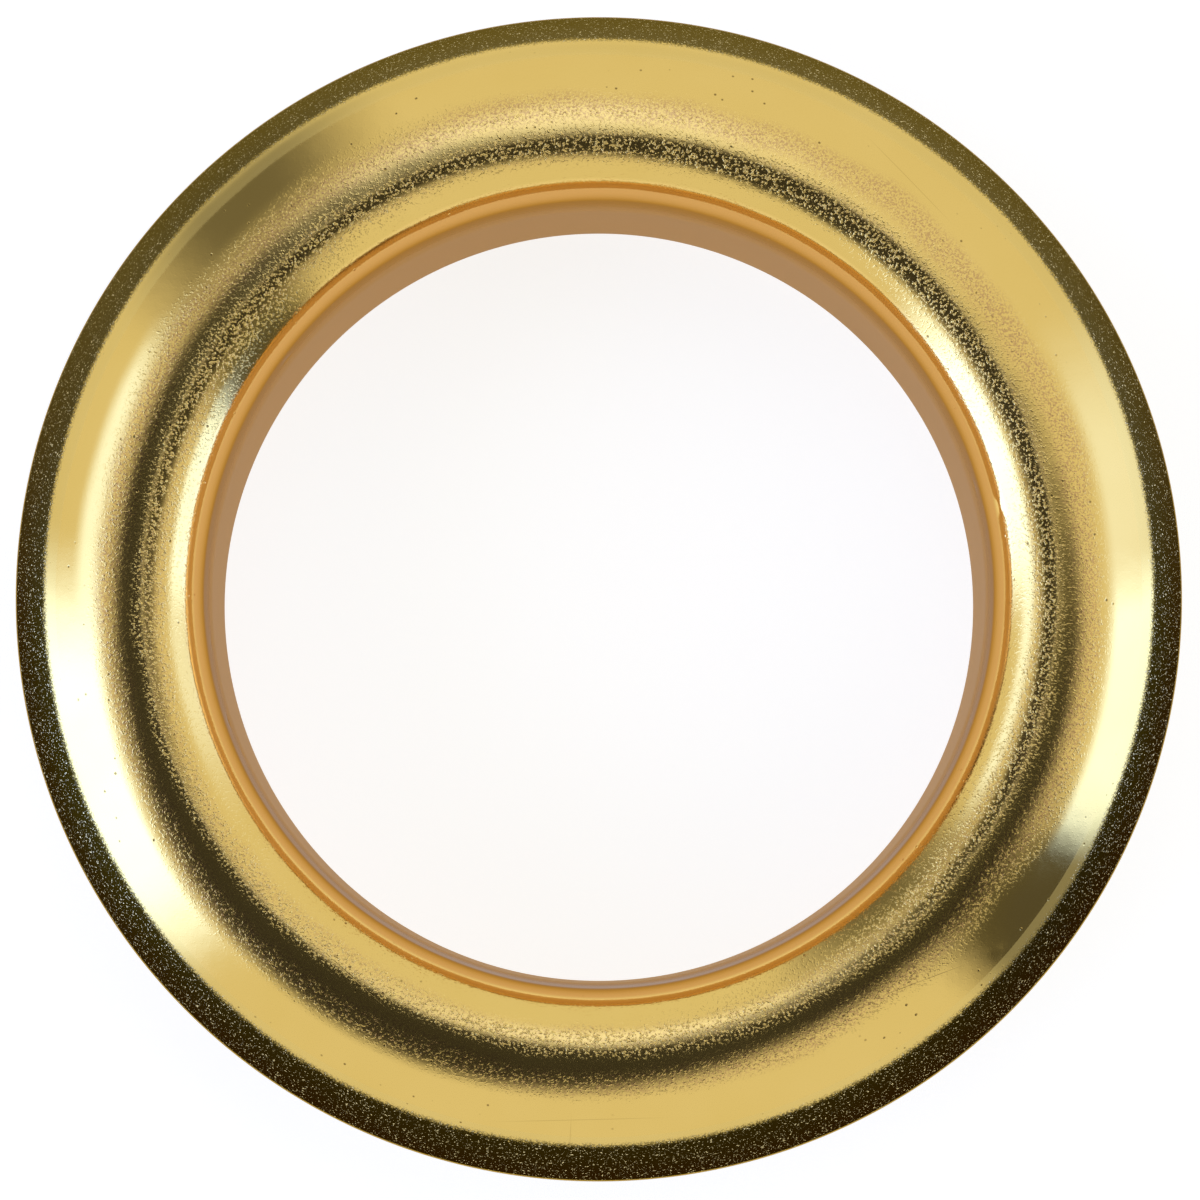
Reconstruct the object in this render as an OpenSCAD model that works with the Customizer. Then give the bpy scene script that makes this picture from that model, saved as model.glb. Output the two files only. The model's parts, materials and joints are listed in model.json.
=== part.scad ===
// Grommet eyelet drawn from one piece of sheet brass
// A domed flange rolls over its crown and lip and runs down a steep throat into a straight barrel.
// The axis is Z, the cut end of the barrel stands at z = 0 and the flange is on top.
// Sizes are in millimetres. A slope is the angle of the outer skin from level, in degrees.

/* [Sheet] */
// Thickness of the sheet
sheet_t = 0.45; // [0.3:0.05:0.8]
// Radius on the corners of the two cut edges
edge_r = 0.1; // [0.04:0.01:0.14]

/* [Barrel] */
// Inside diameter of the barrel
bore_d = 40; // [30:0.5:60]
// How far the barrel reaches below the rim of the flange
barrel_reach = 9.1; // [5:0.1:14]

/* [Throat] */
// Height of the throat, the tapered stretch between the lip and the barrel
throat_h = 2.25; // [0.5:0.05:4]
// Slope of the throat
throat_slope = 84; // [76:1:88]
// Radius of the lip, the bend that leads from the crown down into the throat
lip_r = 3.2; // [2.4:0.1:4.2]

/* [Shelf] */
// Width of the pressed shelf, from the crown to the crease
shelf_w = 4.35; // [3:0.05:7]
// Slope of the shelf where it meets the crease
crease_slope = 42; // [30:1:46]

/* [Crease] */
// Radius of the tight bend along the crease
crease_bend_r = 1.2; // [0.9:0.1:3]
// Angle that the sheet turns through in the crease
crease_turn = 3; // [1:0.5:5]

/* [Rim] */
// Width of the rolled rim, from the crease to its cut edge
rim_w = 2.38; // [1:0.01:4]
// Slope of the rim at its cut edge
rim_slope = 68; // [60:1:85]

/* [Smoothness] */
// Longest step along a bend, in degrees
bend_step = 3; // [1:1:6]
// Longest step round the corner of a cut edge, in degrees
corner_step = 22.5; // [10:2.5:45]

/* [Hidden] */
$fn = 180;

// Slope, widths and bend radii of the outer skin that follow from the sizes above
roll_slope = crease_slope + crease_turn;
throat_w = throat_h / tan(throat_slope);
lip_w = lip_r * sin(throat_slope);
shelf_r = shelf_w / sin(crease_slope);
roll_r = rim_w / (sin(rim_slope) - sin(roll_slope));

// Bend centres, each as radius from the axis and height, from the rim's cut edge up and over
rim_z = barrel_reach + edge_r + (sheet_t - edge_r) * cos(rim_slope);
roll_z = rim_z - roll_r * cos(rim_slope);
crease_z = roll_z + (roll_r - crease_bend_r) * cos(roll_slope);
shelf_z = crease_z + (crease_bend_r - shelf_r) * cos(crease_slope);
crown_z = shelf_z + shelf_r;
lip_z = crown_z - lip_r;
throat_z = lip_z + lip_r * cos(throat_slope) - throat_h;

bore_r = bore_d / 2;
crown_r = bore_r + throat_w + lip_w;
lip_centre = [crown_r, lip_z];
shelf_centre = [crown_r, shelf_z];
crease_centre = shelf_centre + (shelf_r - crease_bend_r) * [sin(crease_slope), cos(crease_slope)];
roll_centre = crease_centre + (crease_bend_r - roll_r) * [sin(roll_slope), cos(roll_slope)];

// Points along an arc, without its first where the arc before it ends there
function arc(centre, r, from, to, step, first = 1) =
    let (steps = ceil(abs(to - from) / step))
    [for (i = [first : steps])
        let (a = from + (to - from) * i / steps)
        centre + r * [cos(a), sin(a)]];

// One face of the sheet, at a depth below the outer skin, from the wall of the bore over to the rim
function skin(depth) = concat(
    [[bore_r + depth, throat_z - depth * tan((90 - throat_slope) / 2)]],
    arc(lip_centre, lip_r - depth, 90 + throat_slope, 90, bend_step, 0),
    arc(shelf_centre, shelf_r - depth, 90, 90 - crease_slope, bend_step),
    arc(crease_centre, crease_bend_r - depth, 90 - crease_slope, 90 - roll_slope, bend_step),
    arc(roll_centre, roll_r - depth, 90 - roll_slope, 90 - rim_slope, bend_step));

// Rounded corner of a cut edge about a centre, from a direction and a quarter turn clockwise
function corner(centre, from, first) = arc(centre, edge_r, from, from - 90, corner_step, first);

// Cut edge of the rim, square to the sheet, from the outer skin round to the back
function rim_edge() =
    let (across = [sin(rim_slope), cos(rim_slope)])
    concat(corner(roll_centre + (roll_r - edge_r) * across, 90 - rim_slope, 1),
           corner(roll_centre + (roll_r - sheet_t + edge_r) * across, -rim_slope, 0));

// Cut end of the barrel, from the outside of its wall round to the wall of the bore
function barrel_edge() = concat(
    corner([bore_r + sheet_t - edge_r, edge_r], 0, 0),
    corner([bore_r + edge_r, edge_r], -90, 0));

function reversed(points) = [for (i = [len(points) - 1 : -1 : 0]) points[i]];

// The sheet's section, turned about the axis
module grommet() {
    color([0.84, 0.70, 0.38])
        rotate_extrude()
            polygon(concat(skin(0), rim_edge(), reversed(skin(sheet_t)), barrel_edge()));
}

grommet();
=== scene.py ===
# Dresses a sheet-brass grommet eyelet and stands it on a plain pale floor under soft studio light
import json
import math
from types import SimpleNamespace

import bpy
import numpy as np
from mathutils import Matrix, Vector, noise


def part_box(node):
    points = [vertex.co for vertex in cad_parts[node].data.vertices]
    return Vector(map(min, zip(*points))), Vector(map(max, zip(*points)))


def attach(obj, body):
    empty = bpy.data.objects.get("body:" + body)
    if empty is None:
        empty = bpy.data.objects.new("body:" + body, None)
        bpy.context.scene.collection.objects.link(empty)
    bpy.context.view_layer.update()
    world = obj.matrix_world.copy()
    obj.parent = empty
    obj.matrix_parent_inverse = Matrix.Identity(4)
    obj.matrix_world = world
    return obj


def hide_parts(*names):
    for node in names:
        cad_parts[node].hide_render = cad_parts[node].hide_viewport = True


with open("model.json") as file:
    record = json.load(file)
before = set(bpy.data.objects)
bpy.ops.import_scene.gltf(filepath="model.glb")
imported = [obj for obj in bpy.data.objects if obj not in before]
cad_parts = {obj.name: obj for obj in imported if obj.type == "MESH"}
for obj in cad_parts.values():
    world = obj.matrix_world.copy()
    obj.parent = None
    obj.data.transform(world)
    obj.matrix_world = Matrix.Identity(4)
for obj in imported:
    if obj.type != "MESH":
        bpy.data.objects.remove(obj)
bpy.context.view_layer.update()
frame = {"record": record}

MM = 0.001

# Sizes that the frame gives, in metres
MOUNTS = {mount["name"]: mount for mount in frame["record"]["mounts"]}
BORE_R = MOUNTS["bore"]["dims"]["r_mm"] * MM
SHEET = MOUNTS["barrel"]["dims"]["r_mm"] * MM - BORE_R
FLANGE_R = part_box("grommet")[1].x
CROWN_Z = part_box("grommet")[1].z

# Section of the sheet, with slopes of the outer skin in degrees
THROAT_H = 2.25 * MM
THROAT_SLOPE = 84
LIP_R = 3.2 * MM
SHELF_W = 4.35 * MM
CREASE_SLOPE = 42
CREASE_BEND_R = 1.2 * MM
ROLL_SLOPE = 45
RIM_W = 2.38 * MM
RIM_SLOPE = 68
EDGE_R = 0.1 * MM

# How much the throat widens over its height, and the radii of the crown and the crease
TAPER = 1 / math.tan(math.radians(THROAT_SLOPE))
CROWN_R = BORE_R + THROAT_H * TAPER + LIP_R * math.sin(math.radians(THROAT_SLOPE))
CREASE_R = CROWN_R + SHELF_W

# Height where the tapered throat meets the straight wall of the barrel
WALL_TOP = MOUNTS["bore"]["pos_m"][2] + MOUNTS["bore"]["dims"]["length_mm"] * MM / 2

# Fineness of the mesh: steps round the axis, degrees a step along the bends of the outer skin, of its
# back and of the cut edges' corners, and rows down the straight wall and the throat
TURNS = 520
SKIN_STEP = 1.5
BACK_STEP = 4
CORNER_STEP = 22.5
SKIN_ROWS = (12, 10)
BACK_ROWS = (4, 3)

# Dents and bumps, each as azimuth, radius, height, breadth and how far it stands out, in degrees and
# millimetres
MARKS = [
    (12, 20.95, 13.5, 0.55, 0.05), (187, 20.1, 10.5, 0.45, -0.04), (199, 20.1, 10.7, 0.5, -0.05),
    (204, 20.1, 10.3, 0.45, -0.04), (16, 20.12, 10.8, 0.5, -0.03), (341, 20.1, 10.4, 0.6, -0.03),
    (143, 20.15, 10.9, 0.5, -0.04), (240, 29.6, 10.6, 0.5, -0.04), (258, 29.5, 10.8, 0.5, -0.04),
    (267, 29.0, 11.6, 0.5, -0.02), (12, 28.0, 12.5, 0.5, -0.015), (318, 27.3, 13.2, 0.6, -0.015),
]
# Depth of the faint waviness of the outer skin, and its waves per metre
WAVINESS = 0.012 * MM
WAVES = 330

# Hairline scratches, each as azimuth and radius of its two ends, in degrees and millimetres
SCRATCHES = [
    (261, 27.3, 275, 26.9), (267, 29.9, 267, 27.0), (231, 23.0, 246, 24.1), (255, 23.0, 271, 24.4),
    (48, 26.1, 58, 26.9), (305, 25.1, 313, 26.3),
]
SCRATCH_W = 0.035 * MM
# Share of its length over which a scratch fades out
SCRATCH_FADE = 0.5

# Bands of the finish, and last the band of a painted brighter reflection on the lip, each as its inner
# and outer limit and the width of its soft edges: the first four are measured from the radius of the
# crown, the last from the wall of the bore
GRAIN_BAND = (-2.1 * MM, 2.5 * MM, 1.0 * MM)
INNER_GRAIN_BAND = (-1.3 * MM, 0.1 * MM, 0.6 * MM)
SMOOTH_BAND = (0.3 * MM, 1.0 * MM, 0.5 * MM)
FLECKED_BAND = (0.7 * MM, 2.1 * MM, 0.8 * MM)
PAINTED_BRIGHT_RING_BAND = (0.76 * MM, 1.15 * MM, 0.2 * MM)
# How far the limits of the first four wander
WANDER = 1.2 * MM
# Where the painted orange reflection at the foot of the lip fades out, measured from the wall of the bore
LIP_FOOT = (0.64 * MM, 0.86 * MM)
# How far below the throat the wall's painted brown reflection starts to fade
WALL_FADE = 0.2 * MM

# Where the dull rim with its painted dark reflection starts, how far that line leans over towards +Y,
# how far it fades and frays, and how far in from the flange's edge the painted dark stops and the rim turns
# bright again
RIM_START = 28.4 * MM
RIM_LEAN = 0.18 * MM
RIM_FADE = 0.14 * MM
RIM_FRAY = 0.8 * MM
BRIGHT_EDGE = (0.09 * MM, 0.04 * MM)

# Noise of the finish, as features per metre
BROAD_SCALE = 180.0
FINE_SCALE = 9000.0
GRAIN_SCALE = 6500.0
RIPPLE_SCALE = 1100.0
RING_SCALE = 1500.0
PIT_SCALE = 1300.0
TONE_SCALE = 260.0
# How much the faint turned rings vary along their length
RING_DRIFT = 0.05

# Values of the noises between which grain, flecks and specks come up, and pits fade out
GRAIN_RANGE = (0.5, 0.74)
FLECK_RANGE = (0.45, 0.6)
SPECK_RANGE = (0.62, 0.68)
PIT_RANGE = (0.05, 0.12)
PITTED_RANGE = (0.45, 0.6)

# Depth of the relief, and what share of it each of its parts takes
RELIEF = 0.018 * MM
GRAIN_EVERYWHERE = 0.03
GRAIN_ON_CROWN = 0.35
GRAIN_INSIDE_CROWN = 0.6
GRAIN_ON_RIM = 0.4
SMOOTHED_AWAY = 0.6
RIPPLE_DEPTH = 0.16
RING_DEPTH = 0.16
PIT_DEPTH = 0.4
SCRATCH_DEPTH = 0.1

# Colours of the brass and of the reflections painted on it, and how strongly its marks are coloured
GOLD = (0.79, 0.56, 0.155, 1)
PALE_GOLD = (0.83, 0.60, 0.185, 1)
FLECK = (0.52, 0.31, 0.13, 1)
PIT = (0.2, 0.12, 0.03, 1)
# Painted reflections in the throat: a brighter gold ring on the lip, orange at its foot and brown down the
# wall
PAINTED_BRIGHT_RING = (0.95, 0.68, 0.22, 1)
PAINTED_ORANGE_REFLECTION = (0.69, 0.38, 0.115, 1)
PAINTED_WALL_REFLECTION = (0.7, 0.44, 0.2, 1)
# Painted dark reflection on the dull rim, darker at the front than at the back, broken by specks of pale
# brass
DARK_REFLECTION_FRONT = (0.034, 0.023, 0.004, 1)
DARK_REFLECTION_BACK = (0.19, 0.14, 0.05, 1)
SPECK = (0.95, 0.8, 0.42, 1)
EDGE_TINT = (0.44, 0.36, 0.3, 1)
# Edge tint of the dull rim, which dims its grazing reflection as part of its painted dark
DARK_REFLECTION_EDGE_TINT = (0.42, 0.36, 0.2, 1)
FLECKS_OUTSIDE_CROWN = 0.75
FLECKS_INSIDE_CROWN = 0.4
PIT_TINT = 0.85
SCRATCH_TINT = 0.25
# Where the painted dark reflection, darker at the front, starts to give way to the lighter one at the back,
# as a share of the flange's radius
DARK_REFLECTION_TURN = -0.2

# Roughness of polished brass, and what the crown, the dull rim and the wall add to it
POLISHED = 0.1
ROUGHER_CROWN = 0.05
ROUGHER_RIM = 0.35
ROUGHER_WALL = 0.35

# Parts of the light tent, each as azimuth, half breadth and width of its soft edges in degrees, and
# its strength, which for a gap is the share of the light that it takes
LEFT_GAP = (130, 12, 16, 0.82)
RIGHT_GAP = (327, 10, 8, 0.93)
LEFT_BOX = (197, 19, 16, 2.6)
LEFT_SIDE = (162, 14, 10, 1.2)
RIGHT_BOX = (350, 14, 8, 1.6)
RIGHT_SIDE = (15, 13, 18, 0.7)
PATCH = (95, 20, 30, 1.0)

# Angles from straight up between which those parts come up, and the patch fades out
LEFT_GAP_POLAR = (20, 62)
LEFT_BOX_POLAR = (36, 50)
LEFT_SIDE_POLAR = (44, 64, 16)
RIGHT_BOX_POLAR = (50, 63)
RIGHT_SIDE_POLAR = (45, 62)
PATCH_POLAR = (24, 44)
# Share of the light that the left gap takes at its upper end
LEFT_GAP_TOP = 0.4
# How fast the left box's upper edge drops towards the front
LEFT_BOX_LEAN = 0.2

# Dark round over the lens: its mean angle from straight up, the waves of its edge as height, azimuth
# of a peak and count, and the half width of that edge
LENS_RIM = 25.4
LENS_WAVES = [(15.0, 243, 1.0), (3.3, 355, 2.0), (5.7, 2, 3.0)]
LENS_FADE = 8

# Strength of the tent's walls, of the dark over the lens and of the patch's white and cool light
WALLS = 0.84
OVER_LENS = 0.045
PATCH_WHITE = 0.25
PATCH_COOL = 0.45
TENT_COLOUR = (1.0, 0.99, 0.975, 1)
BOX_COLOUR = (0.36, 0.66, 1.9, 1)

# Floor: its matte colour, the white that camera and mirrored rays see, the strength of the tent's walls
# that is painted on it as glow for mirrored rays, and how far from the axis that painted light starts
FLOOR_SIZE = 6
FLOOR_COLOUR = (0.36, 0.355, 0.31, 1)
FLOOR_WHITE = 0.8
FLOOR_WALLS = 0.6
POOL_R = 40 * MM

# Camera: its distance and tilt, the width that it sees at that distance, and where it looks
CAMERA_REACH = 0.285
CAMERA_TILT = 3.3
FRAME_WIDTH = 62.14 * MM
AIM = Vector((0.06 * MM, -0.22 * MM, 9.3 * MM))


def direction(angle):
    """A unit vector in the section, as radius and height."""
    return np.array([math.cos(math.radians(angle)), math.sin(math.radians(angle))])


def arc(centre, radius, start, end, step, first=1):
    """Points along an arc, without its first where the arc before it ends there."""
    steps = math.ceil(abs(end - start) / step)
    return [centre + radius * direction(start + (end - start) * i / steps) for i in range(first, steps + 1)]


def section():
    """The closed outline of the sheet, from the bore's wall over the crown to the rim and back,
    and how many of its points lie on the outer skin."""
    shelf_r = SHELF_W / math.sin(math.radians(CREASE_SLOPE))
    roll_r = RIM_W / (math.sin(math.radians(RIM_SLOPE)) - math.sin(math.radians(ROLL_SLOPE)))
    lip = np.array([CROWN_R, CROWN_Z - LIP_R])
    throat_z = lip[1] + LIP_R * math.cos(math.radians(THROAT_SLOPE)) - THROAT_H
    shelf = np.array([CROWN_R, CROWN_Z - shelf_r])
    crease = shelf + (shelf_r - CREASE_BEND_R) * direction(90 - CREASE_SLOPE)
    roll = crease + (CREASE_BEND_R - roll_r) * direction(90 - ROLL_SLOPE)

    def straight(start, end, rows):
        return [start + (end - start) * i / rows for i in range(1, rows + 1)]

    def skin(depth, step, rows):
        foot = np.array([BORE_R + depth, EDGE_R])
        bend = np.array([BORE_R + depth, throat_z - depth * math.tan(math.radians(90 - THROAT_SLOPE) / 2)])
        top = lip + (LIP_R - depth) * direction(90 + THROAT_SLOPE)
        return (straight(foot, bend, rows[0])
                + straight(bend, top, rows[1])
                + arc(lip, LIP_R - depth, 90 + THROAT_SLOPE, 90, step)
                + arc(shelf, shelf_r - depth, 90, 90 - CREASE_SLOPE, step)
                + arc(crease, CREASE_BEND_R - depth, 90 - CREASE_SLOPE, 90 - ROLL_SLOPE, step)
                + arc(roll, roll_r - depth, 90 - ROLL_SLOPE, 90 - RIM_SLOPE, step))

    def corner(centre, start, first):
        return arc(centre, EDGE_R, start, start - 90, CORNER_STEP, first)

    across = direction(90 - RIM_SLOPE)
    rim_edge = (corner(roll + (roll_r - EDGE_R) * across, 90 - RIM_SLOPE, 1)
                + corner(roll + (roll_r - SHEET + EDGE_R) * across, -RIM_SLOPE, 0))
    barrel_edge = (corner(np.array([BORE_R + SHEET - EDGE_R, EDGE_R]), 0, 0)
                   + corner(np.array([BORE_R + EDGE_R, EDGE_R]), -90, 0))
    front = skin(0, SKIN_STEP, SKIN_ROWS)
    back = skin(SHEET, BACK_STEP, BACK_ROWS)
    return np.array(front + rim_edge + back[::-1] + barrel_edge), len(front)


def turned(outline, skin_count):
    """The outline turned about Z, with its dents and a faint waviness in the outer skin."""
    turn = np.arange(TURNS) * 2 * math.pi / TURNS
    along = np.roll(outline, -1, axis=0) - np.roll(outline, 1, axis=0)
    along /= np.linalg.norm(along, axis=1)[:, None]
    outward = np.stack([-along[:, 1], along[:, 0]], axis=1)

    def spin(pairs):
        return np.stack([np.cos(turn)[:, None] * pairs[:, 0], np.sin(turn)[:, None] * pairs[:, 0],
                         np.broadcast_to(pairs[:, 1], (TURNS, len(pairs)))], axis=-1)

    points, normals = spin(outline), spin(outward)
    lift = np.zeros(points.shape[:2])
    for azimuth, radius, height, breadth, rise in MARKS:
        centre = np.array([*(direction(azimuth) * radius), height]) * MM
        apart = np.linalg.norm(points - centre, axis=-1) / (breadth * MM)
        lift += rise * MM * np.exp(-4 * apart ** 2)
    # The waviness only sinks the skin, so it stays inside the true section, and it leaves the cut edge
    for i, j in np.ndindex(TURNS, skin_count):
        lift[i, j] += WAVINESS * (noise.noise(points[i, j] * WAVES) - 1)
    lift[:, skin_count - 2:] = 0
    return points + normals * lift[..., None]


def lathe(name, outline, skin_count):
    """A closed mesh from an outline of radius and height, turned about Z."""
    points = turned(outline, skin_count)
    rows = len(outline)
    here = np.arange(TURNS)[:, None] * rows + np.arange(rows)
    along = np.roll(here, -1, axis=1)
    round_ = np.roll(here, -1, axis=0)
    corner = np.roll(round_, -1, axis=1)
    faces = np.stack([here, round_, corner, along], axis=-1).reshape(-1, 4)
    mesh = bpy.data.meshes.new(name)
    mesh.from_pydata(points.reshape(-1, 3).tolist(), [], faces.tolist())
    mesh.polygons.foreach_set("use_smooth", [True] * len(faces))
    mesh.update()
    piece = bpy.data.objects.new(name, mesh)
    bpy.context.scene.collection.objects.link(piece)
    return piece


class Graph:
    """Short names for the nodes of one material or world."""

    def __init__(self, owner):
        owner.use_nodes = True
        self.tree = owner.node_tree
        self.tree.nodes.clear()

    def node(self, kind, inputs=None, **settings):
        made = self.tree.nodes.new(kind)
        for key, value in settings.items():
            setattr(made, key, value)
        for key, value in (inputs or {}).items():
            self.put(made.inputs[key], value)
        return made

    def put(self, socket, value):
        if isinstance(value, bpy.types.NodeSocket):
            self.tree.links.new(value, socket)
        else:
            socket.default_value = value

    def math(self, operation, *values, clamp=False):
        made = self.node("ShaderNodeMath", operation=operation, use_clamp=clamp)
        for socket, value in zip(made.inputs, values):
            self.put(socket, value)
        return made.outputs[0]

    def total(self, *values):
        result = values[0]
        for value in values[1:]:
            result = self.math("ADD", result, value)
        return result

    def times(self, *values):
        result = values[0]
        for value in values[1:]:
            result = self.math("MULTIPLY", result, value)
        return result

    def length(self, first, second):
        return self.math("SQRT", self.total(self.times(first, first), self.times(second, second)))

    def smooth(self, value, low, high, start=0.0, end=1.0):
        made = self.node("ShaderNodeMapRange", interpolation_type="SMOOTHSTEP")
        for socket, item in zip(made.inputs, (value, low, high, start, end)):
            self.put(socket, item)
        return made.outputs[0]

    def band(self, value, low, high, edge):
        """One between two values and nought outside them, with soft edges of a given width."""
        return self.times(self.smooth(value, low - edge / 2, low + edge / 2),
                          self.smooth(value, high - edge / 2, high + edge / 2, 1.0, 0.0))

    def zone(self, value, start, limits):
        """A band whose limits are measured from a start."""
        low, high, edge = limits
        return self.band(value, start + low, start + high, edge)

    def turn_from(self, azimuth, centre):
        """Angle from a direction round the axis, between minus and plus 180 degrees."""
        return self.math("WRAP", self.math("SUBTRACT", azimuth, centre), 180.0, -180.0)

    def sector(self, azimuth, form):
        """A part of the tent at its strength, within an angle of its direction round the axis."""
        centre, half, edge, strength = form
        away = self.math("ABSOLUTE", self.turn_from(azimuth, centre))
        return self.times(self.smooth(away, half - edge / 2, half + edge / 2, 1.0, 0.0), strength)

    def azimuth(self, x, y):
        return self.math("DEGREES", self.math("ARCTAN2", y, x))

    def mix(self, share, first, second):
        made = self.node("ShaderNodeMix", data_type="RGBA", inputs={0: share, 6: first, 7: second})
        return made.outputs[2]

    def noise(self, place, scale, detail=2.0, roughness=0.5):
        made = self.node("ShaderNodeTexNoise",
                         {"Vector": place, "Scale": scale, "Detail": detail, "Roughness": roughness})
        return made.outputs["Fac"]

    def output(self, shader, kind="ShaderNodeOutputMaterial"):
        self.tree.links.new(shader, self.node(kind).inputs["Surface"])


def new_material(name):
    material = bpy.data.materials.new(name)
    return material, Graph(material)


def scratches(g, x, y):
    """How deep in a scratch a point lies, from nought to one."""
    depth = 0.0
    for azimuth_a, radius_a, azimuth_b, radius_b in SCRATCHES:
        start = Vector(direction(azimuth_a)) * radius_a * MM
        run = Vector(direction(azimuth_b)) * radius_b * MM - start
        along = run.normalized()
        dx, dy = g.math("SUBTRACT", x, start.x), g.math("SUBTRACT", y, start.y)
        off = g.math("ABSOLUTE", g.math("SUBTRACT", g.times(dx, along.y), g.times(dy, along.x)))
        reach = g.total(g.times(dx, along.x), g.times(dy, along.y))
        line = g.times(g.smooth(off, 0.0, SCRATCH_W, 1.0, 0.0),
                       g.band(reach, 0.0, run.length, run.length * SCRATCH_FADE))
        depth = g.math("MAXIMUM", depth, line)
    return depth


def inner_face(g, radius, z):
    """One on the bore's side of the sheet and everywhere above the throat, nought behind."""
    widening = g.times(g.math("MAXIMUM", g.math("SUBTRACT", z, WALL_TOP), 0.0), TAPER)
    past_wall = g.math("SUBTRACT", g.math("SUBTRACT", radius, BORE_R), widening)
    throat_top = WALL_TOP + THROAT_H
    return g.math("MAXIMUM", g.smooth(past_wall, SHEET * 0.5, SHEET * 0.7, 1.0, 0.0),
                  g.smooth(z, throat_top, throat_top + WALL_FADE))


def finish_zones(g, place):
    """Where each kind of finish and each painted reflection lies on the sheet, as masks from nought to one.
    """
    x, y, z = g.node("ShaderNodeSeparateXYZ", {0: place}).outputs
    radius = g.length(x, y)
    at = SimpleNamespace(x=x, y=y, radius=radius)
    at.broad = g.noise(place, BROAD_SCALE)
    at.fine = g.noise(place, FINE_SCALE, roughness=0.7)

    wander = g.total(radius, g.times(g.math("SUBTRACT", at.broad, 0.5), WANDER))
    at.crown = g.zone(wander, CROWN_R, GRAIN_BAND)
    at.inner_crown = g.zone(wander, CROWN_R, INNER_GRAIN_BAND)
    at.smooth_crown = g.zone(wander, CROWN_R, SMOOTH_BAND)
    at.flecked = g.zone(wander, CROWN_R, FLECKED_BAND)

    inside = inner_face(g, radius, z)
    # Painted reflections in the throat: orange at the lip's foot, a brighter ring above it and brown down
    # the wall, whose mask also roughens it
    at.lip_foot = g.times(inside, g.smooth(radius, BORE_R + LIP_FOOT[0], BORE_R + LIP_FOOT[1], 1.0, 0.0))
    at.burnished = g.times(inside, g.zone(radius, BORE_R, PAINTED_BRIGHT_RING_BAND))
    at.wall = g.times(inside, g.smooth(z, WALL_TOP - WALL_FADE, WALL_TOP + THROAT_H, 1.0, 0.0))

    # The dull rim's painted dark reflection: its inner line leans towards +Y and frays, and it stops short
    # of the flange's edge
    lean = g.times(y, RIM_LEAN / CREASE_R)
    fray = g.times(g.math("SUBTRACT", at.fine, 0.5), RIM_FRAY)
    rim_place = g.math("SUBTRACT", g.total(radius, fray), lean)
    at.rim = g.smooth(rim_place, RIM_START - RIM_FADE, RIM_START + RIM_FADE)
    bright_edge = g.smooth(radius, FLANGE_R - BRIGHT_EDGE[0], FLANGE_R - BRIGHT_EDGE[1])
    at.dull = g.times(at.rim, g.math("SUBTRACT", 1.0, bright_edge))
    return at


def add_marks(g, place, at):
    """The pits, which gather in patches, and the scratches."""
    spots = g.node("ShaderNodeTexVoronoi", {"Vector": place, "Scale": PIT_SCALE}).outputs["Distance"]
    at.pits = g.times(g.smooth(spots, *PIT_RANGE, 1.0, 0.0), g.smooth(at.broad, *PITTED_RANGE))
    at.scratches = scratches(g, at.x, at.y)


def relief(g, place, at):
    """Height of the grain, the ripple and the faint turned rings, less the pits and the scratches."""
    depth = g.total(GRAIN_EVERYWHERE, g.times(at.crown, GRAIN_ON_CROWN),
                    g.times(at.inner_crown, GRAIN_INSIDE_CROWN), g.times(at.rim, GRAIN_ON_RIM))
    kept = g.math("SUBTRACT", 1.0, g.times(at.smooth_crown, SMOOTHED_AWAY))
    grain = g.times(g.smooth(g.noise(place, GRAIN_SCALE, roughness=0.65), *GRAIN_RANGE), depth, kept)
    ripple = g.times(g.noise(place, RIPPLE_SCALE, detail=1.0), RIPPLE_DEPTH)
    ring_place = g.node("ShaderNodeCombineXYZ", {0: at.radius, 1: g.times(at.x, RING_DRIFT),
                                                 2: g.times(at.y, RING_DRIFT)}).outputs[0]
    rings = g.times(g.noise(ring_place, RING_SCALE), RING_DEPTH)
    sunk = g.total(g.times(at.pits, PIT_DEPTH), g.times(at.scratches, SCRATCH_DEPTH))
    return g.math("SUBTRACT", g.total(grain, ripple, rings), sunk)


def colouring(g, place, at):
    """Gold with its flecks and pits, painted orange, brown and brighter gold reflections in the throat and
    on the lip, and the painted dark reflection of the dull rim, lighter towards the back.
    """
    flecked = g.total(g.times(at.flecked, FLECKS_OUTSIDE_CROWN),
                      g.times(at.inner_crown, FLECKS_INSIDE_CROWN))
    flecks = g.times(g.smooth(at.fine, *FLECK_RANGE), flecked)
    marks = g.math("MAXIMUM", g.times(at.pits, PIT_TINT), g.times(at.scratches, SCRATCH_TINT))
    tone = g.mix(g.noise(place, TONE_SCALE), GOLD, PALE_GOLD)
    tone = g.mix(flecks, tone, FLECK)
    tone = g.mix(marks, tone, PIT)
    # Painted reflections in the throat and on the lip
    tone = g.mix(at.burnished, tone, PAINTED_BRIGHT_RING)
    tone = g.mix(at.lip_foot, tone, PAINTED_ORANGE_REFLECTION)
    tone = g.mix(at.wall, tone, PAINTED_WALL_REFLECTION)
    # Painted dark reflection on the dull rim, lighter towards the back, broken by specks of pale brass
    dark_reflection = g.mix(g.smooth(at.y, FLANGE_R * DARK_REFLECTION_TURN, FLANGE_R), DARK_REFLECTION_FRONT, DARK_REFLECTION_BACK)
    dark = g.mix(g.smooth(at.fine, *SPECK_RANGE), dark_reflection, SPECK)
    return g.mix(at.dull, tone, dark)


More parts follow.
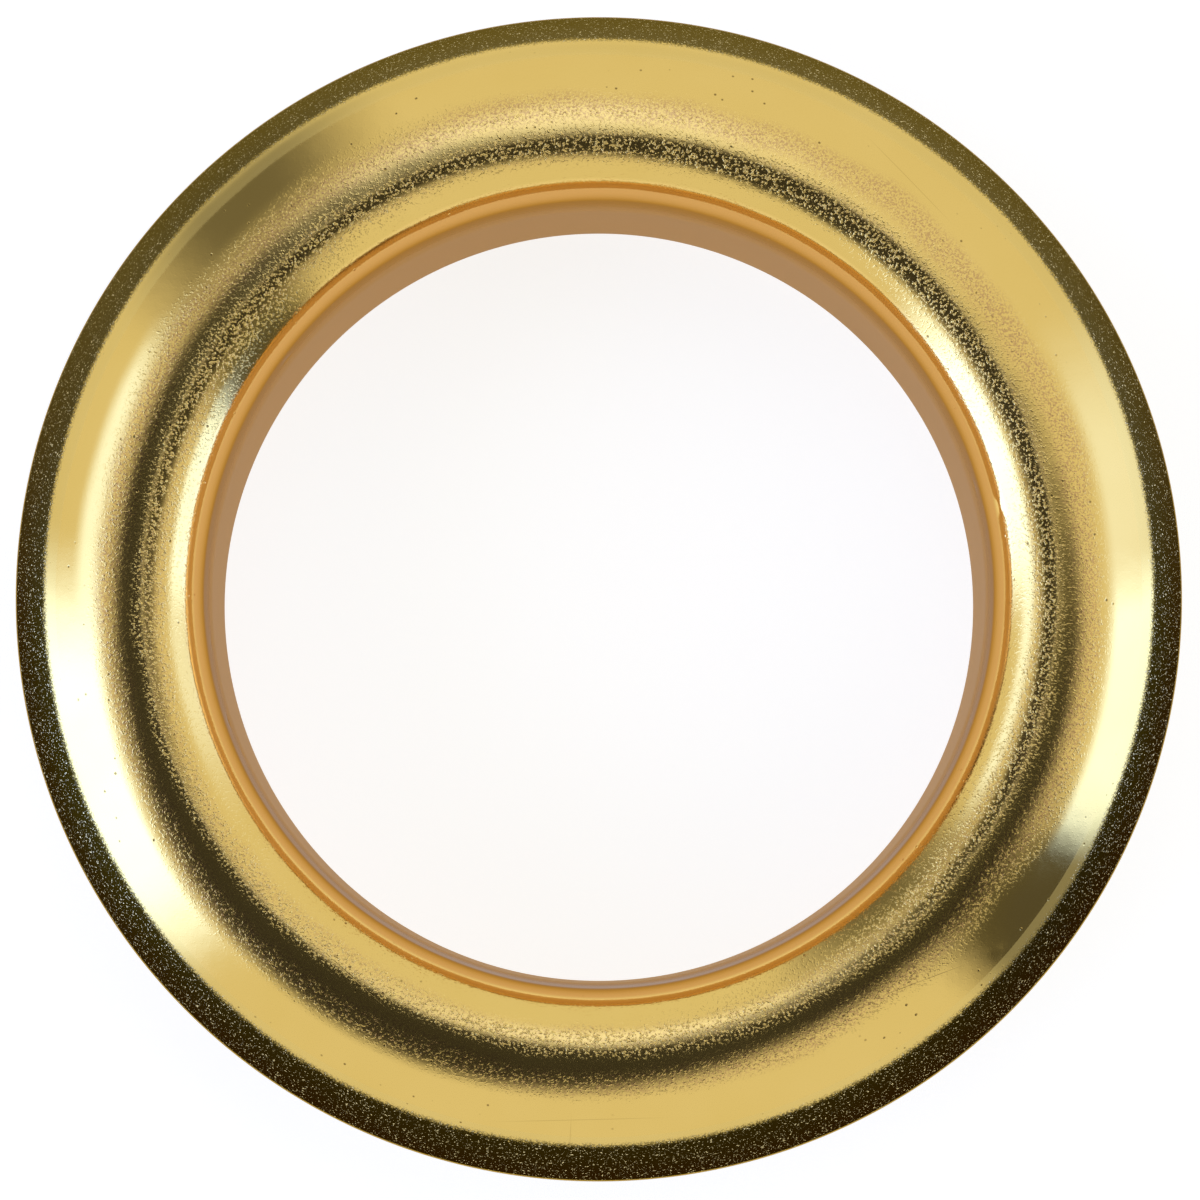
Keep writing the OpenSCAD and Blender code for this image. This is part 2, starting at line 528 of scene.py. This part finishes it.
def brass():
    """Polished drawn brass, with its grain where the sheet was stretched, painted reflections in its
    throat, and its rim left dull and painted dark as a reflection.
    """
    material, g = new_material("polished_brass")
    place = g.node("ShaderNodeTexCoord").outputs["Object"]
    at = finish_zones(g, place)
    add_marks(g, place, at)
    bump = g.node("ShaderNodeBump", {"Strength": 1.0, "Distance": RELIEF, "Height": relief(g, place, at)})
    rough = g.total(POLISHED, g.times(at.crown, ROUGHER_CROWN), g.times(at.dull, ROUGHER_RIM),
                    g.times(at.wall, ROUGHER_WALL))
    # On the dull rim the edge tint also dims the grazing reflection, as part of its painted dark
    shader = g.node("ShaderNodeBsdfPrincipled",
                    {"Base Color": colouring(g, place, at), "Metallic": 1.0, "Roughness": rough,
                     "Specular Tint": g.mix(at.dull, EDGE_TINT, DARK_REFLECTION_EDGE_TINT), "Normal": bump.outputs[0]})
    g.output(shader.outputs[0])
    return material


def make_grommet():
    piece = lathe("brass_grommet", *section())
    piece.data.materials.append(brass())
    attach(piece, "root")
    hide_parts("grommet")


def gaps(g, azimuth, left_share=1.0):
    """Share of the tent's light that is left at its two dark gaps."""
    left = g.times(g.sector(azimuth, LEFT_GAP), left_share)
    return g.times(g.math("SUBTRACT", 1.0, left), g.math("SUBTRACT", 1.0, g.sector(azimuth, RIGHT_GAP)))


def boxes(g, azimuth, polar):
    """Strength of the bright boxes on the left and right, and of their weaker sides."""
    left_edge = g.math("SUBTRACT", polar, g.times(g.turn_from(azimuth, 180.0), LEFT_BOX_LEAN))
    return g.total(g.times(g.sector(azimuth, LEFT_BOX), g.smooth(left_edge, *LEFT_BOX_POLAR)),
                   g.times(g.sector(azimuth, LEFT_SIDE), g.band(polar, *LEFT_SIDE_POLAR)),
                   g.times(g.sector(azimuth, RIGHT_BOX), g.smooth(polar, *RIGHT_BOX_POLAR)),
                   g.times(g.sector(azimuth, RIGHT_SIDE), g.smooth(polar, *RIGHT_SIDE_POLAR)))


def floor_material():
    """Pale floor that camera, glossy and transmission rays see as near white, with the shadow kept.
    In the metal it glows away from the object with painted light, the tent's walls darker at their gaps and
    pools of the boxes' cool light, and from below it is clear."""
    material, g = new_material("pale_floor")
    path = g.node("ShaderNodeLightPath").outputs
    mirrored = g.math("ADD", path["Is Glossy Ray"], path["Is Transmission Ray"], clamp=True)
    place = g.node("ShaderNodeTexCoord").outputs["Object"]
    x, y, _ = g.node("ShaderNodeSeparateXYZ", {0: place}).outputs
    azimuth = g.azimuth(x, y)
    # Painted light, seen only in the metal: away from the object the floor glows like the tent's walls,
    # darker at their gaps, with pools of the boxes' cool light
    away = g.smooth(g.length(x, y), POOL_R, 2 * POOL_R)
    change = g.math("SUBTRACT", g.times(FLOOR_WALLS, gaps(g, azimuth)), FLOOR_WHITE)
    plain = g.total(FLOOR_WHITE, g.times(away, change))
    strength = g.total(g.times(path["Is Camera Ray"], FLOOR_WHITE), g.times(mirrored, plain))
    glow = g.node("ShaderNodeEmission", {"Color": (1, 1, 1, 1), "Strength": strength})
    cool = g.total(g.sector(azimuth, LEFT_BOX), g.sector(azimuth, RIGHT_BOX), g.sector(azimuth, RIGHT_SIDE))
    painted_pool = g.node("ShaderNodeEmission", {"Color": BOX_COLOUR, "Strength": g.times(mirrored, away, cool)})
    matte = g.node("ShaderNodeBsdfDiffuse", {"Color": FLOOR_COLOUR})
    both = g.node("ShaderNodeAddShader", {0: matte.outputs[0], 1: glow.outputs[0]})
    lit = g.node("ShaderNodeAddShader", {0: both.outputs[0], 1: painted_pool.outputs[0]})
    below = g.node("ShaderNodeNewGeometry").outputs["Backfacing"]
    clear = g.node("ShaderNodeBsdfTransparent")
    sided = g.node("ShaderNodeMixShader", {0: below, 1: lit.outputs[0], 2: clear.outputs[0]})
    g.output(sided.outputs[0])
    return material


def make_floor():
    bpy.ops.mesh.primitive_plane_add(size=FLOOR_SIZE)
    floor = bpy.context.object
    floor.name = "floor"
    floor.data.materials.append(floor_material())


def make_light():
    """A light tent, plain white to the camera: dark over the lens, with two bright boxes, a bright patch
    and two gaps, all soft-edged."""
    world = bpy.data.worlds.new("studio")
    g = Graph(world)
    ray = g.node("ShaderNodeTexCoord").outputs["Generated"]
    x, y, z = g.node("ShaderNodeSeparateXYZ", {0: ray}).outputs
    azimuth = g.azimuth(x, y)
    polar = g.math("DEGREES", g.math("ARCCOSINE", z))

    lens_rim = LENS_RIM
    for height, peak, count in LENS_WAVES:
        phase = g.math("SUBTRACT", azimuth, peak)
        wave = g.times(height, g.math("COSINE", g.math("RADIANS", g.times(phase, count))))
        lens_rim = g.total(lens_rim, wave)
    open_sky = g.smooth(g.math("SUBTRACT", polar, lens_rim), -LENS_FADE, LENS_FADE)
    left_share = g.smooth(polar, *LEFT_GAP_POLAR, LEFT_GAP_TOP / LEFT_GAP[3], 1.0)
    walls = g.times(WALLS, open_sky, gaps(g, azimuth, left_share))
    patch = g.times(g.sector(azimuth, PATCH), open_sky, g.smooth(polar, *PATCH_POLAR, 1.0, 0.0))
    unseen = g.math("SUBTRACT", 1.0, g.node("ShaderNodeLightPath").outputs["Is Camera Ray"])
    white = g.math("SUBTRACT", g.total(OVER_LENS, walls, g.times(patch, PATCH_WHITE)), 1.0)
    cool = g.times(unseen, g.total(boxes(g, azimuth, polar), g.times(patch, PATCH_COOL)))
    strength = g.total(1.0, g.times(unseen, white))
    tent = g.node("ShaderNodeBackground", {"Color": TENT_COLOUR, "Strength": strength})
    lamps = g.node("ShaderNodeBackground", {"Color": BOX_COLOUR, "Strength": cool})
    both = g.node("ShaderNodeAddShader", {0: tent.outputs[0], 1: lamps.outputs[0]})
    g.output(both.outputs[0], "ShaderNodeOutputWorld")
    bpy.context.scene.world = world


def make_camera():
    tilt = math.radians(CAMERA_TILT)
    camera = bpy.data.cameras.new("camera")
    camera.sensor_fit = "HORIZONTAL"
    camera.lens = camera.sensor_width * CAMERA_REACH / FRAME_WIDTH
    camera_object = bpy.data.objects.new("camera", camera)
    camera_object.location = AIM + CAMERA_REACH * Vector((0, -math.sin(tilt), math.cos(tilt)))
    camera_object.rotation_euler = (tilt, 0, 0)
    bpy.context.scene.collection.objects.link(camera_object)
    bpy.context.scene.camera = camera_object


make_camera()
make_light()
make_floor()
make_grommet()
bpy.context.scene.view_settings.view_transform = "Standard"
